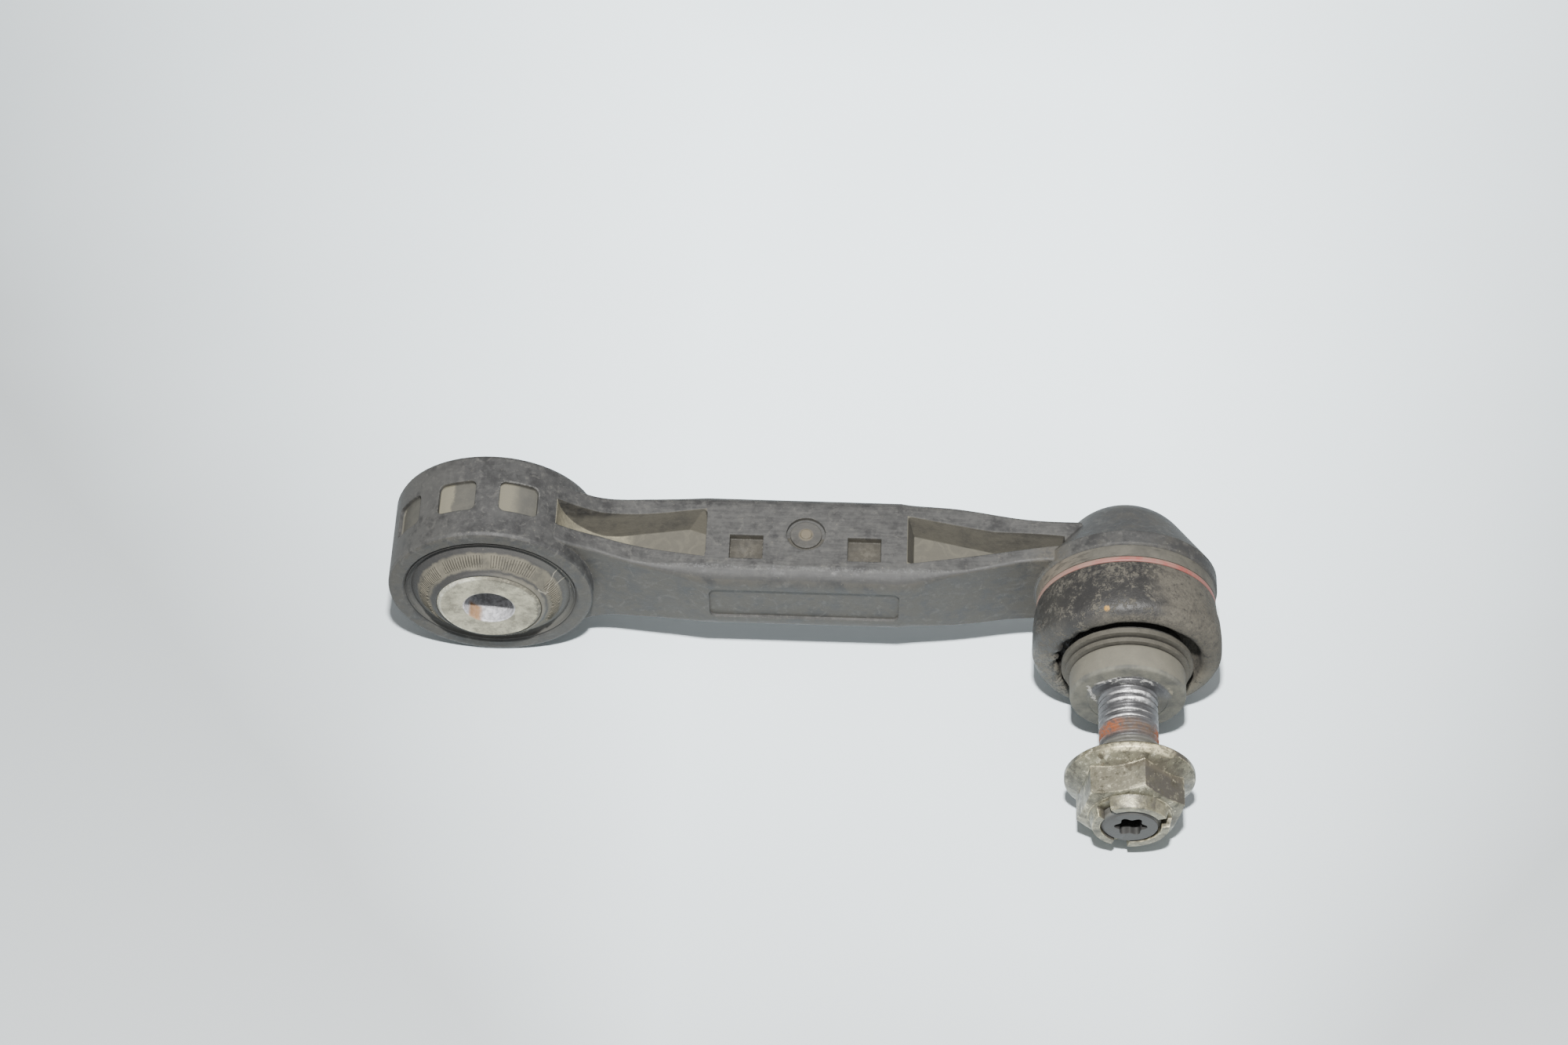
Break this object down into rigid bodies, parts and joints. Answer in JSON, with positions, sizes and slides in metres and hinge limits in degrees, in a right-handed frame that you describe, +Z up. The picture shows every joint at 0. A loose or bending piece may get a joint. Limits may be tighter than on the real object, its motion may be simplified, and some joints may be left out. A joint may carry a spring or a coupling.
{
  "type": "stabilizer link",
  "caption": "Short anti-roll bar link: a moulded plastic rod with pockets, a rubber bush with a metal sleeve at one end and a booted ball joint with threaded stud and flange nut at the other.",
  "frame": {"origin": "centre of the rubber bush, half way along its sleeve", "axes": "+X from the bush towards the ball joint, +Y along the bush bore away from the side the stud points to (the stud points to -Y), +Z up as the part lies in the picture"},
  "size_m": [0.1706, 0.0742, 0.042],
  "materials": {
    "nylon": "dusty, scuffed",
    "bush_rubber": "dusty, cracked",
    "sleeve_steel": "dull, dusty",
    "seat_plastic": "smooth",
    "ring_plastic": "dusty",
    "clamp_red": "faded, dusty",
    "boot_rubber": "caked with dry dust",
    "spring_steel": "plain",
    "seal_plastic": "dusty",
    "stud_steel": "worn, rust on the thread",
    "nut_zinc": "zinc plated, stained"
  },
  "bodies": {
    "link": {"link_body": "nylon", "bush_rubber": "bush_rubber", "closing_ring": "ring_plastic", "boot_clamp_ring": "clamp_red"},
    "bush": {"bush_sleeve": "sleeve_steel"},
    "seat": {"ball_seat": "seat_plastic", "dust_boot": "boot_rubber"},
    "neck": {"seal_ring": "seal_plastic", "boot_neck_ring": "spring_steel"},
    "stud": {"ball_stud": "stud_steel"},
    "nut": {"flange_nut": "nut_zinc"}
  },
  "joints": [
    {"name": "bush_twist", "type": "hinge", "parent": "link", "child": "bush", "pos_m": [0, 0, 0], "axis": [0, 1, 0], "range_deg": [-20, 20], "stiffness_Nm_per_rad": 20},
    {"name": "seat_turn", "type": "hinge", "parent": "link", "child": "seat", "pos_m": [0.1302, -0.0009, 0], "axis": [0, 1, 0], "continuous": true},
    {"name": "pin_tilt", "type": "hinge", "parent": "seat", "child": "neck", "pos_m": [0.1302, -0.0009, 0], "axis": [0, 0, 1], "range_deg": [-20, 20], "deforming": ["dust_boot"]},
    {"name": "pin_spin", "type": "hinge", "parent": "neck", "child": "stud", "pos_m": [0.1302, -0.0009, 0], "axis": [0, 1, 0], "continuous": true},
    {"name": "nut_travel", "type": "slide", "parent": "stud", "child": "nut", "axis": [0, 1, 0], "range_m": [-0.013, 0.0167]}
  ]
}
